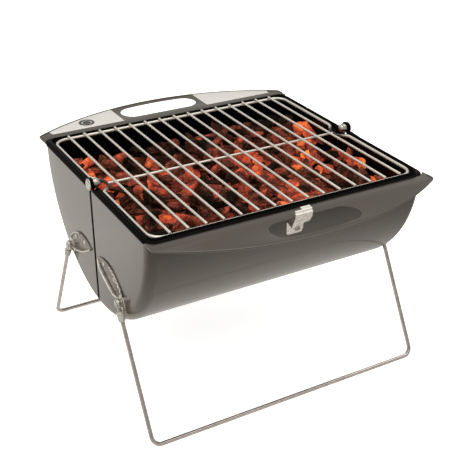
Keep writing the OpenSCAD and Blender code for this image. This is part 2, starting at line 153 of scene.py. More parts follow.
def gunmetal_paint():
    mat, nodes, links, shader = new_material("shell_paint")
    flake = noise_node(nodes, links, 900, 2)
    tint = ramp_node(nodes, links, flake.outputs["Fac"], [
        (0.3, (0.043, 0.037, 0.030)), (0.7, (0.055, 0.048, 0.040)),
    ])
    links.new(tint.outputs["Color"], shader.inputs["Base Color"])
    shader.inputs["Roughness"].default_value = 0.35
    shader.inputs["Specular IOR Level"].default_value = 0.3
    shader.inputs["Specular Tint"].default_value = (1.0, 0.95, 0.88, 1)
    shader.inputs["Coat Weight"].default_value = 1.0
    shader.inputs["Coat Roughness"].default_value = 0.06
    shader.inputs["Coat IOR"].default_value = 1.75
    shader.inputs["Coat Tint"].default_value = (1.0, 0.96, 0.90, 1)
    peel = noise_node(nodes, links, 60, 2)
    bump_from(nodes, links, shader, peel.outputs["Fac"], 0.04, 0.002)
    return mat


def black_enamel():
    mat, nodes, links, shader = new_material("black_enamel")
    wave = noise_node(nodes, links, 40, 2)
    tint = ramp_node(nodes, links, wave.outputs["Fac"], [
        (0.3, (0.0012, 0.0012, 0.0012)), (0.7, (0.0022, 0.0022, 0.002)),
    ])
    links.new(tint.outputs["Color"], shader.inputs["Base Color"])
    shader.inputs["Roughness"].default_value = 0.07
    shader.inputs["IOR"].default_value = 1.12
    bump_from(nodes, links, shader, wave.outputs["Fac"], 0.05, 0.002)
    return mat


def plated(name, light, dark, rough_low, rough_high, grain=(1, 1, 1)):
    mat, nodes, links, shader = new_material(name)
    streak = noise_node(nodes, links, 120, 5, grain)
    tint = ramp_node(nodes, links, streak.outputs["Fac"], [(0.3, dark), (0.65, light)])
    links.new(tint.outputs["Color"], shader.inputs["Base Color"])
    shader.inputs["Metallic"].default_value = 1.0
    rough = range_node(nodes, links, streak.outputs["Fac"], rough_low, rough_high)
    links.new(rough, shader.inputs["Roughness"])
    bump_from(nodes, links, shader, streak.outputs["Fac"], 0.05, 0.0005)
    return mat


def soft_nickel(name, light, dark, grain=(1, 1, 1)):
    """Plating that scatters some of its light, as thin or brushed nickel does."""
    mat = plated(name, light, dark, 0.2, 0.32, grain)
    mat.node_tree.nodes["Principled BSDF"].inputs["Metallic"].default_value = 0.62
    return mat


def bright_wire(name):
    return soft_nickel(name, (0.93, 0.88, 0.80), (0.85, 0.805, 0.73))


def hinge_shaded_wire(name):
    """Plated wire, with painted shade: darkened where it passes the two hinges."""
    mat = bright_wire(name)
    nodes, links = mat.node_tree.nodes, mat.node_tree.links
    shader = nodes["Principled BSDF"]
    at = nodes.new("ShaderNodeTexCoord")
    split = nodes.new("ShaderNodeSeparateXYZ")
    links.new(at.outputs["Object"], split.inputs["Vector"])
    away = nodes.new("ShaderNodeMath")
    away.operation = "ABSOLUTE"
    links.new(split.outputs["Y"], away.inputs[0])
    fade = nodes.new("ShaderNodeMapRange")
    fade.inputs["From Min"].default_value = 14 * MM
    fade.inputs["From Max"].default_value = 24 * MM
    fade.inputs["To Min"].default_value = 0.06
    links.new(away.outputs["Value"], fade.inputs["Value"])
    # painted shade: near-black is mixed in where |y| is under 14 mm, fading out by 24 mm
    mix = nodes.new("ShaderNodeMix")
    mix.data_type = "RGBA"
    mix.inputs["A"].default_value = (0.010, 0.009, 0.008, 1)
    tint = shader.inputs["Base Color"].links[0].from_socket
    links.new(fade.outputs["Result"], mix.inputs["Factor"])
    links.new(tint, mix.inputs["B"])
    links.new(mix.outputs["Result"], shader.inputs["Base Color"])
    return mat


def plastic():
    mat, nodes, links, shader = new_material("ferrule_plastic")
    grain = noise_node(nodes, links, 300, 3)
    tint = ramp_node(nodes, links, grain.outputs["Fac"], [
        (0.3, (0.36, 0.35, 0.30)), (0.7, (0.44, 0.42, 0.36)),
    ])
    links.new(tint.outputs["Color"], shader.inputs["Base Color"])
    shader.inputs["Roughness"].default_value = 0.5
    bump_from(nodes, links, shader, grain.outputs["Fac"], 0.1, 0.0004)
    return mat


def satin_foil():
    mat, nodes, links, shader = new_material("plate_silver")
    brush = noise_node(nodes, links, 40, 6, (1, 60, 60))
    tint = ramp_node(nodes, links, brush.outputs["Fac"], [
        (0.3, (0.60, 0.58, 0.55)), (0.7, (0.72, 0.70, 0.67)),
    ])
    links.new(tint.outputs["Color"], shader.inputs["Base Color"])
    shader.inputs["Metallic"].default_value = 0.15
    shader.inputs["Roughness"].default_value = 0.42
    bump_from(nodes, links, shader, brush.outputs["Fac"], 0.04, 0.0003)
    return mat


def dark_iron():
    mat, nodes, links, shader = new_material("fire_grate_iron")
    scale = noise_node(nodes, links, 90, 6)
    tint = ramp_node(nodes, links, scale.outputs["Fac"], [
        (0.3, (0.010, 0.009, 0.008)), (0.75, (0.045, 0.032, 0.026)),
    ])
    links.new(tint.outputs["Color"], shader.inputs["Base Color"])
    shader.inputs["Roughness"].default_value = 0.75
    bump_from(nodes, links, shader, scale.outputs["Fac"], 0.4, 0.001)
    return mat


def sum_node(nodes, links, source, factor, base):
    """source * factor + base, where base is a number or a socket."""
    node = nodes.new("ShaderNodeMath")
    node.operation = "MULTIPLY_ADD"
    node.inputs[1].default_value = factor
    links.new(source, node.inputs[0])
    if isinstance(base, (int, float)):
        node.inputs[2].default_value = base
    else:
        links.new(base, node.inputs[2])
    return node.outputs["Value"]


def crack_node(nodes, links, scale, width):
    """0 along the cracks of a cell pattern, 1 away from them."""
    at = nodes.new("ShaderNodeTexCoord")
    cells = nodes.new("ShaderNodeTexVoronoi")
    cells.feature = "DISTANCE_TO_EDGE"
    cells.inputs["Scale"].default_value = scale
    links.new(at.outputs["Object"], cells.inputs["Vector"])
    soft = nodes.new("ShaderNodeMapRange")
    soft.inputs["From Max"].default_value = width
    links.new(cells.outputs["Distance"], soft.inputs["Value"])
    return soft.outputs["Result"]


def glowing_charcoal():
    mat, nodes, links, shader = new_material("charcoal")
    glow_and_shade = nodes.new("ShaderNodeAttribute")
    glow_and_shade.attribute_name = "ember_and_shade"
    grain = noise_node(nodes, links, 55, 6)
    fine = noise_node(nodes, links, 260, 5)
    cracks = crack_node(nodes, links, 62, 0.10)
    value = sum_node(nodes, links, grain.outputs["Fac"], 1.1, glow_and_shade.outputs["Fac"])
    value = sum_node(nodes, links, fine.outputs["Fac"], 0.5, value)
    value = sum_node(nodes, links, cracks, 0.14, value)
    value = sum_node(nodes, links, value, 1.0, -0.94)
    stops = [
        (0.0, (0.004, 0.0025, 0.0015)), (0.22, (0.026, 0.008, 0.004)),
        (0.38, (0.080, 0.021, 0.012)), (0.52, (0.165, 0.032, 0.019)),
        (0.68, (0.34, 0.052, 0.026)), (0.85, (0.58, 0.095, 0.030)), (1.0, (0.85, 0.26, 0.05)),
    ]
    tint = ramp_node(nodes, links, value, stops)
    links.new(tint.outputs["Color"], shader.inputs["Base Color"])
    links.new(tint.outputs["Color"], shader.inputs["Emission Color"])
    shader.inputs["Emission Strength"].default_value = 0.6
    shader.inputs["Roughness"].default_value = 0.65
    shader.inputs["Specular IOR Level"].default_value = 0.12
    shader.inputs["Specular Tint"].default_value = (1.0, 0.7, 0.6, 1)
    height = sum_node(nodes, links, cracks, 0.8, fine.outputs["Fac"])
    bump_from(nodes, links, shader, height, 0.6, 0.002)
    return mat


MATERIALS = {
    "shell_paint": gunmetal_paint(),
    "black_enamel": black_enamel(),
    "fire_grate_iron": dark_iron(),
    "charcoal": glowing_charcoal(),
    "bright_plating": plated("bright_plating", (0.80, 0.77, 0.70), (0.55, 0.53, 0.48), 0.12, 0.30),
    "dark_chrome": plated("dark_chrome", (0.27, 0.25, 0.23), (0.235, 0.215, 0.20), 0.22, 0.26),
    "wire_nickel": bright_wire("wire_nickel"),
    "leg_steel": plated("leg_steel", (0.80, 0.74, 0.69), (0.62, 0.57, 0.53), 0.14, 0.26),
    "ferrule_plastic": plastic(),
    "latch_nickel": soft_nickel("latch_nickel", (0.98, 0.93, 0.86), (0.84, 0.79, 0.72), (1, 8, 8)),
    "plate_silver": satin_foil(),
    "badge_metal": plated("badge_metal", (0.22, 0.21, 0.20), (0.10, 0.10, 0.095), 0.25, 0.45),
}


# ---------------------------------------------------------------- mesh helpers

def in_mm(points):
    """Points or sections written in millimetres, in metres."""
    return [tuple(value * MM for value in point) for point in points]


def add_object(name, mesh):
    obj = bpy.data.objects.new(name, mesh)
    scene.collection.objects.link(obj)
    return obj


def mesh_object(name, verts, faces):
    mesh = bpy.data.meshes.new(name)
    mesh.from_pydata([tuple(v) for v in verts], [], faces)
    mesh.validate()
    mesh.update()
    return add_object(name, mesh)


def clean(obj, angle=35.0, merge=1e-6):
    bm = bmesh.new()
    bm.from_mesh(obj.data)
    bmesh.ops.remove_doubles(bm, verts=bm.verts, dist=merge)
    bmesh.ops.recalc_face_normals(bm, faces=bm.faces)
    bm.to_mesh(obj.data)
    bm.free()
    obj.data.shade_smooth()
    obj.data.set_sharp_from_angle(angle=math.radians(angle))
    return obj


def bake(obj):
    """Turns an object with modifiers, or a curve, into a plain mesh."""
    graph = bpy.context.evaluated_depsgraph_get()
    mesh = bpy.data.meshes.new_from_object(obj.evaluated_get(graph))
    made = add_object(obj.name, mesh)
    name = obj.name
    bpy.data.objects.remove(obj)
    made.name = name
    mesh.materials.clear()
    return made


def join(name, objects):
    bm = bmesh.new()
    for o in objects:
        o.data.transform(o.matrix_world)
        bm.from_mesh(o.data)
    mesh = bpy.data.meshes.new(name)
    bm.to_mesh(mesh)
    bm.free()
    for o in objects:
        bpy.data.objects.remove(o)
    made = add_object(name, mesh)
    mesh.shade_smooth()
    mesh.set_sharp_from_angle(angle=math.radians(35))
    return made


def place(obj, body, slot, *nodes):
    obj.data.materials.clear()
    obj.data.materials.append(MATERIALS[slot])
    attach(obj, body)
    if nodes:
        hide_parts(*nodes)
    return obj


def mirrored(obj, name, axis):
    """A copy mirrored across the plane through the origin normal to that axis."""
    copy = add_object(name, obj.data.copy())
    flip = Matrix.Scale(-1, 4, Vector((axis == 0, axis == 1, axis == 2)))
    copy.data.transform(flip)
    copy.data.flip_normals()
    return copy


def lathe(name, profile, centre, axis, steps=48):
    """Turns (radius, height) points about an axis through centre. The ends must lie on the axis."""
    axis = Vector(axis).normalized()
    side = axis.orthogonal().normalized()
    other = axis.cross(side)
    verts, faces, rings = [], [], []
    for r, h in profile:
        base = Vector(centre) + axis * h
        if r < 1e-7:
            rings.append([len(verts)])
            verts.append(base)
            continue
        ring = []
        for k in range(steps):
            a = 2 * math.pi * k / steps
            ring.append(len(verts))
            verts.append(base + side * (r * math.cos(a)) + other * (r * math.sin(a)))
        rings.append(ring)
    for a, b in zip(rings, rings[1:]):
        for k in range(steps):
            j = (k + 1) % steps
            loop = [a[k % len(a)], a[j % len(a)], b[j % len(b)], b[k % len(b)]]
            loop = [v for i, v in enumerate(loop) if v not in loop[:i]]
            if len(loop) > 2:
                faces.append(loop)
    return clean(mesh_object(name, verts, faces))


def rounded_path(points, radii, closed=False, step_deg=9.0):
    """A polyline whose corners are replaced by arcs of the given radii."""
    out = []
    n = len(points)
    for i, (p, r) in enumerate(zip(points, radii)):
        p = Vector(p)
        if not closed and i in (0, n - 1):
            out.append(p)
            continue
        a = (Vector(points[i - 1]) - p).normalized()
        b = (Vector(points[(i + 1) % n]) - p).normalized()
        inner = a.angle(b)
        if r <= 0 or inner > math.pi - 1e-4:
            out.append(p)
            continue
        cut = r / math.tan(inner / 2)
        centre = p + (a + b).normalized() * (r / math.sin(inner / 2))
        start, end = p + a * cut - centre, p + b * cut - centre
        turn = math.pi - inner
        steps = max(2, int(math.degrees(turn) / step_deg) + 1)
        axis = start.cross(end).normalized()
        for k in range(steps + 1):
            out.append(centre + Matrix.Rotation(turn * k / steps, 3, axis) @ start)
    return out


def tube(name, points, radius, sides=20, closed=False):
    """A round wire along the points, with domed ends."""
    points = [Vector(p) for p in points]
    radii = [radius] * len(points)
    if not closed:
        head = (points[0] - points[1]).normalized()
        tail = (points[-1] - points[-2]).normalized()
        caps = [(math.sqrt(1 - c * c), c) for c in (0.95, 0.75, 0.4)]
        before = [(points[0] + head * radius * k * 0.6, radius * c) for k, c in caps][::-1]
        after = [(points[-1] + tail * radius * k * 0.6, radius * c) for k, c in caps]
        points = [p for p, _ in before] + points + [p for p, _ in after]
        radii = [r for _, r in before] + radii + [r for _, r in after]
    n = len(points)
    tangents = []
    for i in range(n):
        before, after = points[i - 1], points[(i + 1) % n]
        if not closed and i == 0:
            before = points[0]
        if not closed and i == n - 1:
            after = points[-1]
        tangents.append((after - before).normalized())
    normal = tangents[0].orthogonal().normalized()
    verts, faces = [], []
    for i in range(n):
        t = tangents[i]
        normal = (normal - t * normal.dot(t)).normalized()
        other = t.cross(normal)
        for k in range(sides):
            a = 2 * math.pi * k / sides
            verts.append(points[i] + (normal * math.cos(a) + other * math.sin(a)) * radii[i])
    for i in range(n if closed else n - 1):
        j = (i + 1) % n
        for k in range(sides):
            m = (k + 1) % sides
            faces.append([i * sides + k, i * sides + m, j * sides + m, j * sides + k])
    if not closed:
        faces.append([k for k in range(sides)][::-1])
        faces.append([(n - 1) * sides + k for k in range(sides)])
    return clean(mesh_object(name, verts, faces), 60)


def plate(name, loops, thickness, z, bevel=0.0002, matrix=None):
    """Flat sheet from 2D loops (outline first, then holes), its middle at height z."""
    curve = bpy.data.curves.new(name, "CURVE")
    curve.dimensions = "2D"
    curve.fill_mode = "BOTH"
    curve.extrude = max(thickness / 2 - bevel, 0.00001)
    curve.bevel_depth = bevel
    curve.bevel_resolution = 2
    curve.offset = -bevel
    for loop in loops:
        spline = curve.splines.new("POLY")
        spline.points.add(len(loop) - 1)
        for pt, (x, y) in zip(spline.points, loop):
            pt.co = (x, y, 0, 1)
        spline.use_cyclic_u = True
    obj = add_object(name, curve)
    made = bake(obj)
    made.data.transform(Matrix.Translation((0, 0, z)))
    if matrix is not None:
        made.data.transform(matrix)
    return clean(made, 40, 1e-6)


def arc(cx, cy, r, a0, a1, steps):
    """Points on a circle from angle a0 to a1, in degrees."""
    out = []
    for k in range(steps + 1):
        a = math.radians(a0 + (a1 - a0) * k / steps)
        out.append((cx + r * math.cos(a), cy + r * math.sin(a)))
    return out


def x_facing(x):
    """Maps a 2D drawing (u, v) to (y, z) at that x, its thickness along X."""
    return Matrix(((0, 0, 1, x), (1, 0, 0, 0), (0, 1, 0, 0), (0, 0, 0, 1)))


# ---------------------------------------------------------------- drum halves

def drum_profile(radius, half, fillet, axis_gap=0.0):
    """(radius, x) points from the left end wall's middle over the drum to the right one's."""
    pts = [(axis_gap, -half), (radius * 0.35, -half), (radius * 0.7, -half)]
    pts += [(radius - fillet + fillet * math.sin(math.radians(a)),
             -half + fillet - fillet * math.cos(math.radians(a))) for a in range(0, 91, 9)]
    steps = 12
    inner = half - fillet
    pts += [(radius, -inner + 2 * inner * k / steps) for k in range(1, steps)]
    pts += [(r, -x) for r, x in reversed(pts[:14])]
    return pts


def quarter_sheet(name, radius, half, fillet, thickness, split):
    """A thin quarter drum on the +Y side, its outside at radius, open at the top and the split."""
    profile = drum_profile(radius, half, fillet)
    steps = 60
    verts, faces = [], []
    for k in range(steps + 1):
        a = -math.radians(96) * k / steps
        for r, x in profile:
            verts.append((x, r * math.cos(a), r * math.sin(a) + RIM_Z))
    n = len(profile)
    for k in range(steps):
        for i in range(n - 1):
            faces.append([k * n + i, k * n + i + 1, (k + 1) * n + i + 1, (k + 1) * n + i])
    obj = mesh_object(name, verts, faces)
    bm = bmesh.new()
    bm.from_mesh(obj.data)
    bmesh.ops.remove_doubles(bm, verts=bm.verts, dist=1e-6)
    everything = bm.verts[:] + bm.edges[:] + bm.faces[:]
    bmesh.ops.bisect_plane(bm, geom=everything, plane_co=(0, split, 0),
                           plane_no=(0, 1, 0), clear_inner=True)
    bmesh.ops.recalc_face_normals(bm, faces=bm.faces)
    middle = Vector((0, 0, RIM_Z))
    probe = max(bm.faces, key=lambda f: f.calc_center_median().y)
    if probe.normal.dot(probe.calc_center_median() - middle) < 0:
        bmesh.ops.reverse_faces(bm, faces=bm.faces)
    bm.to_mesh(obj.data)
    bm.free()
    thick = obj.modifiers.new("thickness", "SOLIDIFY")
    thick.thickness = thickness
    thick.offset = -1
    made = bake(obj)
    made.data.shade_smooth()
    made.data.set_sharp_from_angle(angle=math.radians(40))
    return made


def wing_edge(inset, steps=64):
    """Outer edge of the handle flange, from its right side round to its left side."""
    tip_x = WING_X - TIP_R
    tip_y = WING_CY + math.sqrt((WING_R - TIP_R) ** 2 - tip_x ** 2)
    a = math.degrees(math.atan2(tip_y - WING_CY, tip_x))
    right = arc(tip_x, tip_y, TIP_R - inset, 0, a, 10)
    top = arc(0, WING_CY, WING_R - inset, a, 180 - a, steps)
    left = [(-x, y) for x, y in reversed(right)]
    return right + top[1:-1] + left


def hand_hole():
    """The hand hole: a straight inner edge, an arched outer edge and round ends."""
    r = HOLE_END_R
    outer = WING_R - OUTER_STRIP
    cy = HOLE_INNER_Y + HOLE_END_R
    cx = math.sqrt((outer - r) ** 2 - (cy - WING_CY) ** 2)
    a = math.degrees(math.atan2(cy - WING_CY, cx))
    right = arc(cx, cy, r, -90, a, 18)
    top = arc(0, WING_CY, outer, a, 180 - a, 20)
    left = arc(-cx, cy, r, 180 - a, 270, 18)
    return right + top[1:-1] + left


def corner(cx, cy, r, a0, a1):
    return arc(cx, cy, r, a0, a1, 10)


def ledge_outline():
    """The ledge under the rim of a +Y half, with the drum's opening cut away."""
    side, near = RIM_X - 1.5 * MM, SPLIT + 7 * MM
    wall_x, wall_y = END_X - 3 * MM, DRUM_R - 3 * MM
    back = RIM_Y + 0.8 * MM
    outer = [(side, near), (side, back - 12 * MM)] + corner(side - 12 * MM, back - 12 * MM, 12 * MM, 0, 90)
    outer += [(-x, y) for x, y in reversed(outer)]
    inner = [(-wall_x, near)] + corner(-wall_x + EDGE_R, wall_y - EDGE_R, EDGE_R, 180, 90)
    inner += corner(wall_x - EDGE_R, wall_y - EDGE_R, EDGE_R, 90, 0) + [(wall_x, near)]
    return outer + inner


def wing_start():
    """The wing's inner edge, following the rim's rounded corners from the left to the right."""
    x, y, r = RIM_X + 0.1 * MM, RIM_Y + 0.1 * MM, 16 * MM
    left = [(-WING_X, SIDE_Y), (-x, SIDE_Y)] + corner(-x + r, y - r, r, 152, 90)
    return left + [(-px, py) for px, py in reversed(left)]


def step_wall(prefix):
    """The short upright step that lifts the wing from the ledge, just outside the rim."""
    line = wing_start()[2:-2]
    verts, faces = [], []
    n = len(line)
    for z in (RIM_Z - 0.6 * MM, WING_TOP - 0.2 * MM):
        verts += [(x, y, z) for x, y in line]
        verts += [(x * 1.004, y + 0.8 * MM, z) for x, y in line]
    for i in range(n - 1):
        for a, b in ((0, 2 * n), (3 * n, n), (n, 0), (2 * n, 3 * n)):
            faces.append([a + i, a + i + 1, b + i + 1, b + i])
    for i in (0, n - 1):
        faces.append([i, n + i, 3 * n + i, 2 * n + i])
    return clean(mesh_object(prefix + "_step", verts, faces))


def shell_parts(prefix, split):
    body = quarter_sheet(prefix + "_drum", DRUM_R, END_X, EDGE_R, SHEET, split)
    ledge = plate(prefix + "_ledge", [ledge_outline()], 0.8 * MM, RIM_Z - 0.4 * MM, 0.2 * MM)
    wing = wing_start() + wing_edge(0.8 * MM)
    flange = plate(prefix + "_flange", [wing, hand_hole()], 1.0 * MM, WING_TOP - 0.5 * MM, 0.25 * MM)
    edge = [(WING_X - 1.4 * MM, SIDE_Y + 10 * MM)] + wing_edge(1.4 * MM)
    edge.append((-WING_X + 1.4 * MM, SIDE_Y + 10 * MM))
    hem = tube(prefix + "_hem", [(x, y, WING_TOP - 0.3 * MM) for x, y in edge], 1.4 * MM, 14)
    return body, join(prefix + "_ledges", [ledge, step_wall(prefix)]), flange, hem


def build_shells():
    for side, body in HALVES:
        parts = shell_parts(side, SPLIT)
        if side == "front":
            parts = [swap(p) for p in parts]
        for k, p in enumerate(parts):
            nodes = [side + "_shell"] if k == 0 else []
            place(p, body, "shell_paint", *nodes)


def across(obj, axis):
    """The object's mirror image across the plane normal to that axis, in its place."""
    name = obj.name
    made = mirrored(obj, name + "_m", axis)
    bpy.data.objects.remove(obj)
    made.name = name
    return made


def swap(obj):
    """Moves an object drawn on the +Y half to the -Y half."""
    return across(obj, 1)


# ---------------------------------------------------------------- liners

def rim_section():
    """The rim's section: (distance out from the opening, height above the rim plane), in mm."""
    return [(-7.5, -0.7), (-7.5, 0.15), (-0.4, 0.2), (0.0, 0.6), (0.0, 5.9), (0.35, 6.6),
            (1.0, 6.8), (1.7, 6.75), (2.3, 6.3), (2.7, 5.4), (3.1, 4.2), (3.8, 3.4),
            (5.0, 3.05), (7.8, 3.0), (8.7, 2.75), (9.3, 2.1), (9.5, 1.2), (9.5, -0.2),
            (9.1, -0.7)]


def rim_path():
    """(point, outward direction, is a corner) stations round the +Y half's opening."""
    out_x, out_y = 9.5 * MM, 9.5 * MM
    hx, hy, r = RIM_X - out_x, RIM_Y - out_y, 9 * MM
    start = SPLIT + 7 * MM
    stations = [(Vector((hx, y, 0)), Vector((1, 0, 0)))
                for y in (start, start + 20 * MM, (hy - r) * 0.6)]
    for k in range(13):
        a = math.radians(90 * k / 12)
        n = Vector((math.cos(a), math.sin(a), 0))
        stations.append((Vector((hx - r, hy - r, 0)) + n * r, n))
    for f in (0.5, 0.0, -0.5):
        stations.append((Vector((f * (hx - r), hy, 0)), Vector((0, 1, 0))))
    right = stations[:-2]
    left = [(Vector((-p.x, p.y, 0)), Vector((-n.x, n.y, 0))) for p, n in reversed(right[:-1])]
    return right + left


def build_rim(name):
    section, stations = rim_section(), rim_path()
    verts, faces = [], []
    n = len(section)
    for p, out in stations:
        for d, z in section:
            q = p + out * d * MM
            verts.append((q.x, q.y, RIM_Z + z * MM))
    for i in range(len(stations) - 1):
        for k in range(n):
            m = (k + 1) % n
            faces.append([i * n + k, i * n + m, (i + 1) * n + m, (i + 1) * n + k])
    faces.append(list(range(n)))
    faces.append([(len(stations) - 1) * n + k for k in range(n)][::-1])
    return clean(mesh_object(name, verts, faces), 50)


def build_liners():
    radius = DRUM_R - 9.3 * MM
    for side, body in HALVES:
        pan = quarter_sheet(side + "_pan", radius, END_X - 7.1 * MM, 12 * MM, SHEET, SPLIT)
        rim = build_rim(side + "_rim")
        half = END_X - 8.5 * MM
        wall_r = radius - SHEET * 1.2
        outline = [(-half, -46 * MM), (half, -46 * MM)]
        outline += [(half, -wall_r + 10 * MM), (half - 10 * MM, -wall_r)]
        outline += [(-half + 10 * MM, -wall_r), (-half, -wall_r + 10 * MM)]
        upright = Matrix.Translation((0, SPLIT + 1.2 * MM, RIM_Z)) @ Matrix.Rotation(math.pi / 2, 4, "X")
        wall = plate(side + "_split_wall", [outline], 0.8 * MM, 0, 0.1 * MM, upright)
        for k, p in enumerate((pan, rim, wall)):
            p = swap(p) if side == "front" else p
            nodes = [side + "_liner"] if k == 0 else []
            place(p, body, "black_enamel", *nodes)


# ---------------------------------------------------------------- charcoal

def lump(bm, glow_and_shade_layer, centre, size, glow_and_shade, rng):
    """One broken piece of charcoal: the hull of jittered points, with chipped faces."""
    turn = Matrix.Rotation(rng.uniform(0, 2 * math.pi), 3, "Z")
    turn = turn @ Matrix.Rotation(rng.gauss(0, 0.35), 3, "X")
    turn = turn @ Matrix.Rotation(rng.gauss(0, 0.35), 3, "Y")
    made = []
    for _ in range(rng.randint(11, 16)):
        v = Vector((rng.gauss(0, 1), rng.gauss(0, 1), rng.gauss(0, 1))).normalized()
        v = Vector([math.copysign(abs(c) ** 0.7, c) for c in v])
        v = Vector((v.x * size.x, v.y * size.y, v.z * size.z)) * rng.uniform(0.85, 1.0)
        made.append(bm.verts.new(centre + turn @ v))
    hull = bmesh.ops.convex_hull(bm, input=made)
    dead = [g for g in hull["geom_interior"] + hull["geom_unused"]
            if isinstance(g, bmesh.types.BMVert) and g.is_valid]
    bmesh.ops.delete(bm, geom=list(set(dead)), context="VERTS")
    for v in made:
        if v.is_valid:
            v[glow_and_shade_layer] = glow_and_shade + rng.gauss(0, 0.10)


def heap_height(x, y):
    """How high the coals lie at a place, above their mean level."""
    wave = noise.noise(Vector((x * 9, y * 9, 3.3)))
    return 9 * MM * wave


def build_heap(side, rng):
    bm = bmesh.new()
    glow_and_shade_layer = bm.verts.layers.float.new("ember_and_shade")
    sign = 1 if side == "rear" else -1
    pan_r = DRUM_R - 13.5 * MM
    for level, drop in ((0, 52), (1, 36), (2, 22)):
        z0 = RIM_Z - drop * MM
        reach = math.sqrt(pan_r ** 2 - (drop * MM + 8 * MM) ** 2) - 9 * MM
        pitch = 23 * MM if level < 2 else 25 * MM
        nx = int(2 * (END_X - 25.5 * MM) / pitch)
        ny = int((reach - 8 * MM) / pitch)
        for i in range(nx + 1):
            for j in range(ny + 1):
                if level == 2 and rng.random() < 0.18:
                    continue
                x = -END_X + 25.5 * MM + (i + rng.uniform(-0.3, 0.3)) * pitch
                y = 13 * MM + (j + rng.uniform(-0.3, 0.3)) * pitch
                if level == 2 and y > reach - 18 * MM:
                    continue
                y = min(y, reach)
                x = max(min(x, END_X - 25.5 * MM), -END_X + 25.5 * MM)
                size = Vector((rng.uniform(11, 27), rng.uniform(8, 14), rng.uniform(5, 11))) * MM
                glow = noise.noise(Vector((x * 11 + 4, sign * y * 11, 0.7)))
                glow_and_shade = 0.42 + 0.60 * glow + rng.uniform(-0.32, 0.32)
                glow_and_shade -= 0.14 * (x < -130 * MM) + 0.10 * (level == 0)
                # painted shade: the back rows of the rear heap sit in shade, so their glow value is lowered
                # here
                glow_and_shade -= 0.22 * (side == "rear" and y > 105 * MM)
                z = z0 + heap_height(x, sign * y) + rng.uniform(-3, 3) * MM
                z = min(z, RIM_Z - 17 * MM)
                y = max(y, SPLIT + 14 * MM)
                lump(bm, glow_and_shade_layer, Vector((x, sign * y, z)), size, glow_and_shade, rng)
    split_side = [v for v in bm.verts if sign * v.co.y < SPLIT + 2.2 * MM]
    for v in split_side:
        v.co.y = sign * (SPLIT + 2.2 * MM)
    mesh = bpy.data.meshes.new(side + "_coals")
    bm.to_mesh(mesh)
    bm.free()
    obj = add_object(side + "_coals", mesh)
    chip = obj.modifiers.new("chip", "BEVEL")
    chip.width = 1.2 * MM
    chip.segments = 1
    chip.limit_method = "ANGLE"
    made = bake(obj)
    made.data.shade_smooth()
    made.data.set_sharp_from_angle(angle=math.radians(28))
    return made


def build_charcoal():
    rng = random.Random(11)
    for side, body in HALVES:
        place(build_heap(side, rng), body, "charcoal", side + "_charcoal")


# ---------------------------------------------------------------- cooking grate

def build_grate():
    lo, hi = size_of("grate_frame")
    r = (hi.z - lo.z) / 2
    hx, hy, z = hi.x - r, hi.y - r, (hi.z + lo.z) / 2
    jog = hx - 14 * MM
    right = [(hx, -hy), (hx, -22 * MM), (jog, -9 * MM), (jog, 8 * MM), (hx, 30 * MM), (hx, hy)]
    left = [(-x, y) for x, y in reversed(right)]
    pts = [(x, y, z) for x, y in right + left]
    radii = [a * MM for a in (20, 9, 9, 9, 14, 20)]
    ring = rounded_path(pts, radii + radii[::-1], closed=True, step_deg=7)
    wire = place(tube("grate_ring", ring, r, 20, closed=True), "cooking_grate", "wire_nickel", "grate_frame")
    wire.data.materials[0] = hinge_shaded_wire("grate_ring_wire")
    lo, hi = size_of("grate_bars")
    r = (hi.z - lo.z) / 2
    z = (hi.z + lo.z) / 2
    bars = []
    for k in range(15):
        x = lo.x + r + (hi.x - lo.x - 2 * r) * k / 14
        bow = 0.25 * MM * math.sin(k * 2.1)
        pts = [(x + bow * math.sin(math.pi * t / 8), hi.y * (t / 4 - 1), z) for t in range(9)]
        bars.append(tube(f"bar{k}", pts, r, 16))
    place(join("grate_bars_set", bars), "cooking_grate", "wire_nickel", "grate_bars")
    lo, hi = size_of("grate_cross_bar")
    r = (hi.z - lo.z) / 2
    cross = tube("grate_cross", [(lo.x, 0, (lo.z + hi.z) / 2), (hi.x, 0, (lo.z + hi.z) / 2)], r, 16)
    place(cross, "cooking_grate", "wire_nickel", "grate_cross_bar")


# ---------------------------------------------------------------- legs

def leg_points():
    pivot, foot = LEG_PIVOT, FOOT
    down = (Vector((0, foot.y, foot.z)) - Vector((0, pivot.y, pivot.z))).normalized()
    top = Vector((LEG_X, pivot.y, pivot.z)) + down * 5 * MM
    low = Vector((LEG_X, foot.y, foot.z))
    pts = [top, low, Vector((-low.x, low.y, low.z)), Vector((-top.x, top.y, top.z))]
    return rounded_path(pts, [0, 13 * MM, 13 * MM, 0], step_deg=6), down


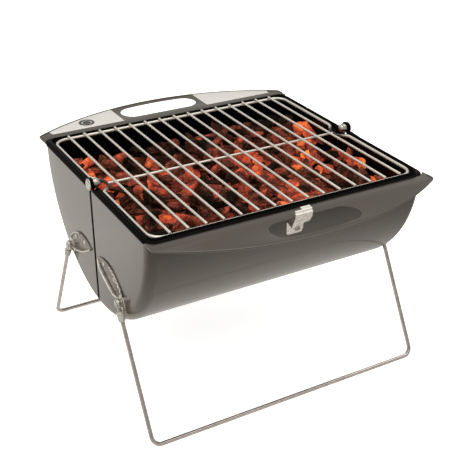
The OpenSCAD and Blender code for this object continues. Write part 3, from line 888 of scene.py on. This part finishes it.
def build_leg(side, body):
    pts, down = leg_points()
    parts = [tube(side + "_u", pts, 3 * MM, 22)]
    eye = in_mm([(0, 0), (6.6, 0), (7.3, 0.4), (7.5, 1.2), (7.5, 2.8), (7.3, 3.6), (6.6, 4.0), (0, 4.0)])
    for s in (-1, 1):
        centre = Vector((s * (LEG_X - 2 * MM), LEG_PIVOT.y, LEG_PIVOT.z))
        if s < 0:
            centre = Vector((s * (LEG_X + 2 * MM), LEG_PIVOT.y, LEG_PIVOT.z))
        parts.append(lathe(f"{side}_eye{s}", eye, centre, (1, 0, 0)))
    leg = join(side + "_leg_wire", parts)
    ferrules = []
    profile = in_mm([(0, 0), (4.5, 0), (5.2, 0.5), (5.3, 1.4), (5.3, 5.2), (5.1, 6.4), (4.9, 7.4),
                     (4.8, 10.5), (4.7, 12.8), (4.3, 13.8), (3.2, 14.0), (0, 14.0)])
    for s in (-1, 1):
        start = Vector((s * LEG_X, LEG_PIVOT.y, LEG_PIVOT.z)) + down * 11 * MM
        ferrules.append(lathe(f"{side}_f{s}", profile, start, down))
    caps = join(side + "_leg_caps", ferrules)
    if side == "front":
        leg, caps = swap(leg), swap(caps)
    place(leg, body, "wire_nickel", side + "_leg")
    leg.data.materials[0] = MATERIALS["leg_steel"]
    place(caps, body, "ferrule_plastic", side + "_leg_ferrules")


# ---------------------------------------------------------------- brackets, rivets and hinges

def circle_through(a, b, sag, side):
    a, b = Vector(a), Vector(b)
    d = (b - a).normalized()
    half = (b - a).length / 2
    r = (half * half + sag * sag) / (2 * sag)
    left = Vector((-d.y, d.x)) * side
    return (a + b) / 2 + left * (sag - r), r


def arc_between(a, b, sag, side, steps=28):
    """Points of the arc from a to b that bulges by sag."""
    c, r = circle_through(a, b, sag, side)
    a0 = math.atan2(a[1] - c.y, a[0] - c.x)
    a1 = math.atan2(b[1] - c.y, b[0] - c.x)
    turn = (a1 - a0 + math.pi) % (2 * math.pi) - math.pi
    return [(c.x + r * math.cos(a0 + turn * k / steps), c.y + r * math.sin(a0 + turn * k / steps))
            for k in range(steps + 1)]


def leaf_loop(start, end, top_sag, bottom_sag):
    top = arc_between(start, end, top_sag, 1)
    bottom = arc_between(end, start, bottom_sag, 1)
    return top + bottom[1:-1]


def standing_strip(name, line, x0, low, high, thick, teeth=0):
    """A strip that stands out from the end wall along a line, its outer edge plain or toothed."""
    n = len(line)
    verts, faces = [], []
    for i, (u, v) in enumerate(line):
        a, b = line[max(i - 1, 0)], line[min(i + 1, n - 1)]
        d = Vector((b[0] - a[0], b[1] - a[1])).normalized()
        side = Vector((-d.y, d.x)) * thick / 2
        t = i / (n - 1)
        ease = min(1.0, 6 * t, 8 * (1 - t))
        tooth = 0.5 + 0.5 * math.cos(2 * math.pi * t * teeth) if teeth else 1.0
        out = low + (high - low) * tooth
        out = thick + (out - thick) * ease
        for x, k in ((x0, 1), (x0 + out, 1), (x0 + out, -1), (x0, -1)):
            verts.append((x, u + side.x * k, v + side.y * k + RIM_Z))
    for i in range(n - 1):
        for k in range(4):
            m = (k + 1) % 4
            faces.append([i * 4 + k, i * 4 + m, i * 4 + 4 + m, i * 4 + 4 + k])
    faces.append([0, 1, 2, 3])
    faces.append([n * 4 - 1, n * 4 - 2, n * 4 - 3, n * 4 - 4])
    strip = clean(mesh_object(name, verts, faces))
    soft = strip.modifiers.new("soft", "BEVEL")
    soft.width = 0.35 * MM
    soft.segments = 2
    made = bake(strip)
    return clean(made, 50)


def bracket_parts(name, x0):
    """(polished leaf, bright fittings) of one bracket, drawn on the +X end of the +Y half."""
    start, stop = (12 * MM, -100 * MM), (106 * MM, -133 * MM)
    face = [(u, v + RIM_Z) for u, v in leaf_loop(start, stop, 22 * MM, 5 * MM)]
    leaf = plate(name + "_leaf", [face], 1.5 * MM, 0, 0.3 * MM, x_facing(x0 + 0.75 * MM))
    lower = arc_between((15 * MM, -102 * MM), (86 * MM, -129 * MM), 4.5 * MM, -1, 40)
    parts = [standing_strip(name + "_strip", lower, x0 + 1 * MM, 4.0 * MM, 5.8 * MM, 2.4 * MM)]
    upper = arc_between(start, stop, 20.5 * MM, 1, 120)[48:104]
    parts.append(standing_strip(name + "_teeth", upper, x0 + 1 * MM, 0.9 * MM, 2.6 * MM, 2.0 * MM, 7))
    boss = in_mm([(0, 0), (11.5, 0), (11.5, 1.8), (10.8, 2.3), (6.4, 2.6), (6.0, 3.0), (6.0, 4.6), (0, 4.6)])
    parts.append(lathe(name + "_boss", boss, (x0, LEG_PIVOT.y, LEG_PIVOT.z), (1, 0, 0)))
    return leaf, join(name, parts)


def build_bracket(name, side, end):
    lo, hi = size_of(f"{side}_{end}_leg_bracket")
    made = bracket_parts(name, min(abs(lo.x), abs(hi.x)))
    if end == "left":
        made = [flip_x(m) for m in made]
    return [swap(m) for m in made] if side == "front" else made


def flip_x(obj):
    """Moves an object drawn on the +X end to the -X end."""
    return across(obj, 0)


def build_brackets():
    for side, body in HALVES:
        for end in ("left", "right"):
            leaf, fittings = build_bracket(f"{side}_{end}_bracket", side, end)
            place(leaf, body, "dark_chrome")
            place(fittings, body, "bright_plating", f"{side}_{end}_leg_bracket")


def rivet(name, centre, axis, head_r, head_h, shank_r, length):
    """A domed rivet: head above centre along axis, shank below."""
    dome = [(head_r * math.sin(math.radians(a)), head_h * math.cos(math.radians(a)))
            for a in range(0, 91, 15)]
    profile = dome + [(head_r, -0.2 * MM), (shank_r, -0.2 * MM), (shank_r, -length)]
    tail_r, tail_h = shank_r + 1.2 * MM, -length - 1 * MM
    profile += [(tail_r, -length), (tail_r, tail_h), (0, tail_h)]
    profile[0] = (0, head_h)
    return lathe(name, profile, centre, axis, 32)


def build_rivets():
    for side, body in HALVES:
        sy = 1 if side == "rear" else -1
        small, big = [], []
        for s in (-1, 1):
            for u, v in ((36, -100), (72, -107)):
                c = Vector((s * (END_X + 1.6 * MM), sy * u * MM, RIM_Z + v * MM))
                small.append(rivet(f"{side}{s}{u}", c, (s, 0, 0), 3.8 * MM, 1.6 * MM, 2 * MM, 2.4 * MM))
            c = Vector((s * (LEG_X + 2.3 * MM), sy * LEG_PIVOT.y, LEG_PIVOT.z))
            big.append(rivet(f"{side}{s}p", c, (s, 0, 0), 5.8 * MM, 2.4 * MM, 2.5 * MM, 11.5 * MM))
        place(join(side + "_small_rivets", small), body, "bright_plating", side + "_bracket_rivets")
        place(join(side + "_pivot_rivets", big), body, "bright_plating", side + "_leg_pivots")


def ear_loop(reach, eye_r):
    """Side view of a hinge ear: a round eye whose foot slopes down to the rim."""
    eye = arc(0, HINGE.z, eye_r, 205, -38, 28)
    foot = [(12 * MM, RIM_Z + 4.4 * MM), (18 * MM, RIM_Z + 3.5 * MM), (reach, RIM_Z + 3.1 * MM)]
    foot += [(reach, RIM_Z - 0.5 * MM), (-4 * MM, RIM_Z - 0.5 * MM)]
    return eye + foot


def build_ears():
    """The front ears' eyes stay behind the pin heads, clear of the rear drum when it is closed."""
    for side, body, x_mid, eye_r in (
        ("rear", "rear_half", INNER_EAR_X, 9.4), ("front", "front_half", OUTER_EAR_X, 6.8),
    ):
        outline = ear_loop(30 * MM, eye_r * MM)
        ears = [plate(f"{side}_ear{s}", [outline], 2.3 * MM, 0, 0.5 * MM, x_facing(s * x_mid))
                for s in (-1, 1)]
        pair = join(side + "_ears", ears)
        if side == "front":
            pair = swap(pair)
        place(pair, body, "black_enamel", side + "_hinge_ears")


def build_pins():
    head = in_mm([(0, 2.9), (3.0, 2.8), (5.6, 2.4), (7.3, 1.6), (8.3, 0.8), (8.5, 0.0), (3.9, 0.0),
                  (3.9, -9.0), (0, -9.0)])
    nut = in_mm([(0, 0), (6.6, 0), (7.0, 0.5), (7.0, 5.2), (6.4, 6.0), (5.9, 6.2), (5.8, 7.4),
                 (5.0, 9.0), (3.6, 10.0), (1.8, 10.5), (0, 10.6)])
    pins, nuts = [], []
    for s in (-1, 1):
        pins.append(lathe(f"pin{s}", head, (s * PIN_HEAD_X, 0, HINGE.z), (s, 0, 0)))
        nuts.append(lathe(f"nut{s}", nut, (s * NUT_X, 0, HINGE.z), (-s, 0, 0)))
    place(join("pin_pair", pins), "front_half", "bright_plating", "hinge_pins")
    place(join("nut_pair", nuts), "front_half", "bright_plating", "hinge_nuts")


# ---------------------------------------------------------------- latch and plates

def latch_outline():
    """The clip's upright plate, from its screw: a thumb lobe, a slanted notch and a wide riser."""
    pts = [(-15.8, 12.8), (-15.8, -6), (6.5, -6), (9, 0.5), (9, 6), (18.4, 6.8), (22.8, 12.6),
           (22.8, 18.6), (-2.8, 18.6), (-2.8, 14), (-7.3, 5), (-7.6, 1.5)]
    radii = [0.8, 3.2, 4, 3, 2.4, 2.5, 3, 0, 0, 3, 4, 0.6]
    ring = rounded_path([(x * MM, z * MM, 0) for x, z in pts], [r * MM for r in radii], closed=True)
    return [(p.x, p.y) for p in ring]


def build_latch():
    at = LATCH_PIVOT
    upright = Matrix.Translation(at) @ Matrix.Rotation(math.pi / 2, 4, "X")
    parts = [plate("clip_plate", [latch_outline()], 1.2 * MM, 0, 0.3 * MM, upright)]
    section = [(0, 17), (-0.2, 18.2), (-0.8, 18.9), (-0.6, 19.6), (0.6, 20.2), (1.3, 21.0), (1.6, 22.0),
               (1.2, 22.9), (2.2, 23.5), (4.2, 23.7), (6.2, 24.1), (7.4, 24.4), (8.4, 24.2)]
    path = rounded_path([(0, at.y + y * MM, at.z + z * MM) for y, z in section],
                        [0] + [0.4 * MM] * 11 + [0], step_deg=20)
    parts.append(ribbon("clip_hook", path, at.x + 8.6 * MM, at.x + 22.8 * MM, 1.1 * MM))
    root = [p for p in path if p.y < at.y + 3.9 * MM]
    parts.append(ribbon("clip_root", root, at.x - 2.8 * MM, at.x + 8.9 * MM, 1.1 * MM))
    clip = join("latch_clip_shape", parts)
    place(clip, "latch", "latch_nickel", "latch_clip")


def ribbon(name, path, x0, x1, t):
    """A bent sheet: the path in the YZ plane, from x0 to x1, of thickness t."""
    left, right = [], []
    for i, p in enumerate(path):
        a = path[max(i - 1, 0)]
        b = path[min(i + 1, len(path) - 1)]
        d = (b - a).normalized()
        n = Vector((0, -d.z, d.y)) * t / 2
        left.append(p + n)
        right.append(p - n)
    loop = left + right[::-1]
    n = len(loop)
    verts = [(x0, p.y, p.z) for p in loop] + [(x1, p.y, p.z) for p in loop]
    faces = [[k, (k + 1) % n, n + (k + 1) % n, n + k] for k in range(n)]
    m = len(path)
    for i in range(m - 1):
        faces.append([i, i + 1, n - 2 - i, n - 1 - i])
        faces.append([n + i, n + n - 1 - i, n + n - 2 - i, n + i + 1])
    return clean(mesh_object(name, verts, faces), 40)


def plate_loop():
    """One silver plate on the +X side of the rear flange."""
    inner_y, from_x = 204.2 * MM, 73.5 * MM
    r = WING_R - 3.8 * MM
    to_x = 196 * MM
    end_y = WING_CY + math.sqrt(r * r - to_x * to_x)
    a0 = math.degrees(math.atan2(end_y - WING_CY, to_x))
    top_x = from_x + 1.5 * MM
    a1 = math.degrees(math.atan2(math.sqrt(r * r - top_x * top_x), top_x))
    top = arc(0, WING_CY, r, a0, a1, 24)
    return [(from_x + 1 * MM, inner_y), (to_x - 2 * MM, inner_y)] + top


def build_plates():
    z = WING_TOP + 0.35 * MM
    for s, name in ((1, "right"), (-1, "left")):
        loop = [(s * x, y) for x, y in plate_loop()]
        if s < 0:
            loop = loop[::-1]
        p = plate(f"plate_{name}", [loop], 0.6 * MM, z, 0.15 * MM)
        place(p, "rear_half", "plate_silver", f"nameplate_{name}")
    lo, hi = size_of("ring_badge")
    c = (lo + hi) / 2
    ring = in_mm([(8.4, 0), (12.3, 0), (12.4, 0.5), (11.8, 0.9), (9.0, 0.9), (8.5, 0.5)])
    disc = in_mm([(0, 0.35), (6.4, 0.35), (6.6, 0.1), (6.6, 0), (0, 0)])
    base = (c.x, c.y, lo.z)
    ring_obj = lathe_ring("badge_rim", ring, base)
    disc_obj = lathe("badge_disc", disc, base, (0, 0, 1))
    place(join("badge", [ring_obj, disc_obj]), "rear_half", "badge_metal", "ring_badge")


def lathe_ring(name, section, centre, steps=56):
    verts, faces = [], []
    n = len(section)
    for k in range(steps):
        a = 2 * math.pi * k / steps
        for r, h in section:
            verts.append((centre[0] + r * math.cos(a), centre[1] + r * math.sin(a), centre[2] + h))
    for k in range(steps):
        j = (k + 1) % steps
        for i in range(n):
            m = (i + 1) % n
            faces.append([k * n + i, k * n + m, j * n + m, j * n + i])
    return clean(mesh_object(name, verts, faces))


def dress_cad_nodes():
    """CAD nodes that are shown as they are get their slot's material."""
    slots = {s["node"]: s["material_slot"] for s in record["subparts"]}
    for name, obj in frame["nodes"].items():
        obj.data.materials.clear()
        obj.data.materials.append(MATERIALS[slots[name]])


# ---------------------------------------------------------------- stage

def distance_fade(nodes, links, source, near, far, value_near, value_far):
    """value_near below the near distance, value_far beyond the far one."""
    fade = nodes.new("ShaderNodeMapRange")
    fade.inputs["From Min"].default_value = near
    fade.inputs["From Max"].default_value = far
    fade.inputs["To Min"].default_value = value_near
    fade.inputs["To Max"].default_value = value_far
    links.new(source, fade.inputs["Value"])
    return fade.outputs["Result"]


def mirrored_floor(nodes, links):
    """The floor as the paint mirrors it, with painted light and shade: bright under the grill, dim in front,
    bright to the left.
    """
    at = nodes.new("ShaderNodeTexCoord")
    reach = nodes.new("ShaderNodeVectorMath")
    reach.operation = "LENGTH"
    links.new(at.outputs["Object"], reach.inputs[0])
    split = nodes.new("ShaderNodeSeparateXYZ")
    links.new(at.outputs["Object"], split.inputs["Vector"])
    left = nodes.new("ShaderNodeMath")
    left.operation = "SUBTRACT"
    links.new(split.outputs["Y"], left.inputs[0])
    links.new(split.outputs["X"], left.inputs[1])
    under = distance_fade(nodes, links, reach.outputs["Value"], 0.22, 0.62, 0.47, 0.13)
    aside = distance_fade(nodes, links, left.outputs["Value"], 0.35, 0.80, 0.12, 0.68)
    glow = nodes.new("ShaderNodeEmission")
    glow.inputs["Color"].default_value = (1.0, 0.965, 0.90, 1)
    links.new(sum_node(nodes, links, under, 1.0, aside), glow.inputs["Strength"])
    return glow.outputs["Emission"]


def floor_material():
    """Pale floor: nearly white to the camera, softer in what it sends back to the grill."""
    mat, nodes, links, shader = new_material("floor")
    speck = noise_node(nodes, links, 30, 2)
    tint = ramp_node(nodes, links, speck.outputs["Fac"], [
        (0.3, (0.925, 0.925, 0.925)), (0.7, (0.935, 0.935, 0.935)),
    ])
    links.new(tint.outputs["Color"], shader.inputs["Base Color"])
    shader.inputs["Emission Color"].default_value = (1, 1, 1, 1)
    shader.inputs["Roughness"].default_value = 0.9
    shader.inputs["Specular IOR Level"].default_value = 0.0
    seen = nodes.new("ShaderNodeLightPath")
    lift = sum_node(nodes, links, seen.outputs["Is Camera Ray"], 0.60, 0.03)
    links.new(lift, shader.inputs["Emission Strength"])
    mix = nodes.new("ShaderNodeMixShader")
    links.new(seen.outputs["Is Glossy Ray"], mix.inputs["Fac"])
    links.new(shader.outputs["BSDF"], mix.inputs[1])
    links.new(mirrored_floor(nodes, links), mix.inputs[2])
    links.new(mix.outputs["Shader"], nodes["Material Output"].inputs["Surface"])
    return mat


def build_stage():
    mesh = bpy.data.meshes.new("floor")
    size = 12
    corners = [(-size, -size, 0), (size, -size, 0), (size, size, 0), (-size, size, 0)]
    mesh.from_pydata(corners, [], [(0, 1, 2, 3)])
    floor = add_object("floor", mesh)
    mesh.materials.append(floor_material())


def build_world():
    world = bpy.data.worlds.new("studio")
    world.use_nodes = True
    scene.world = world
    nodes, links = world.node_tree.nodes, world.node_tree.links
    out = nodes["World Output"]
    seen = nodes["Background"]
    seen.inputs["Color"].default_value = (1, 1, 1, 1)
    seen.inputs["Strength"].default_value = 1.05
    room = nodes.new("ShaderNodeBackground")
    where = nodes.new("ShaderNodeTexCoord")
    split = nodes.new("ShaderNodeSeparateXYZ")
    links.new(where.outputs["Generated"], split.inputs["Vector"])
    sky = ramp_node(nodes, links, split.outputs["Z"], [
        (0.0, (0.82, 0.79, 0.74)), (0.14, (0.36, 0.352, 0.33)), (0.66, (0.33, 0.325, 0.305)),
        (0.88, (1.3, 1.28, 1.24)),
    ])
    links.new(sky.outputs["Color"], room.inputs["Color"])
    room.inputs["Strength"].default_value = 1.0
    path = nodes.new("ShaderNodeLightPath")
    mix = nodes.new("ShaderNodeMixShader")
    links.new(path.outputs["Is Camera Ray"], mix.inputs["Fac"])
    links.new(room.outputs["Background"], mix.inputs[1])
    links.new(seen.outputs["Background"], mix.inputs[2])
    links.new(mix.outputs["Shader"], out.inputs["Surface"])


def area_light(name, at, target, size, power, colour=(1, 1, 1), glossy=False):
    data = bpy.data.lights.new(name, "AREA")
    data.shape = "RECTANGLE"
    data.size, data.size_y = size
    data.energy = power
    data.color = colour
    obj = bpy.data.objects.new(name, data)
    scene.collection.objects.link(obj)
    obj.location = at
    obj.rotation_euler = (Vector(target) - Vector(at)).to_track_quat("-Z", "Y").to_euler()
    obj.visible_glossy = glossy


def build_lights():
    area_light("key", (-1.6, -0.9, 2.4), (0, 0, 0.2), (1.6, 1.6), 42, (1, 0.98, 0.95))
    area_light("fill", (1.8, -1.4, 1.6), (0, 0, 0.2), (1.4, 1.0), 12, (1, 0.99, 0.97))
    area_light("back", (0.4, 2.2, 1.9), (0, 0, 0.3), (2.0, 0.8), 18)


def build_camera():
    data = bpy.data.cameras.new("camera")
    data.sensor_width = 36
    data.lens = 36 * 931.5 / 470
    cam = bpy.data.objects.new("camera", data)
    scene.collection.objects.link(cam)
    cam.location = (-0.6024, -1.1005, 0.8583)
    yaw, pitch = math.radians(29.24), math.radians(28.35)
    ahead = Vector((math.sin(yaw) * math.cos(pitch), math.cos(yaw) * math.cos(pitch), -math.sin(pitch)))
    cam.rotation_euler = ahead.to_track_quat("-Z", "Y").to_euler()
    data.clip_start = 0.05
    data.clip_end = 60
    scene.camera = cam


build_shells()
build_liners()
build_charcoal()
build_grate()
for half in ("rear", "front"):
    build_leg(half, half + "_leg_body")
build_brackets()
build_rivets()
build_ears()
build_pins()
build_latch()
build_plates()
dress_cad_nodes()
build_stage()
build_world()
build_lights()
build_camera()
scene.view_settings.view_transform = "Standard"
scene.view_settings.look = "None"
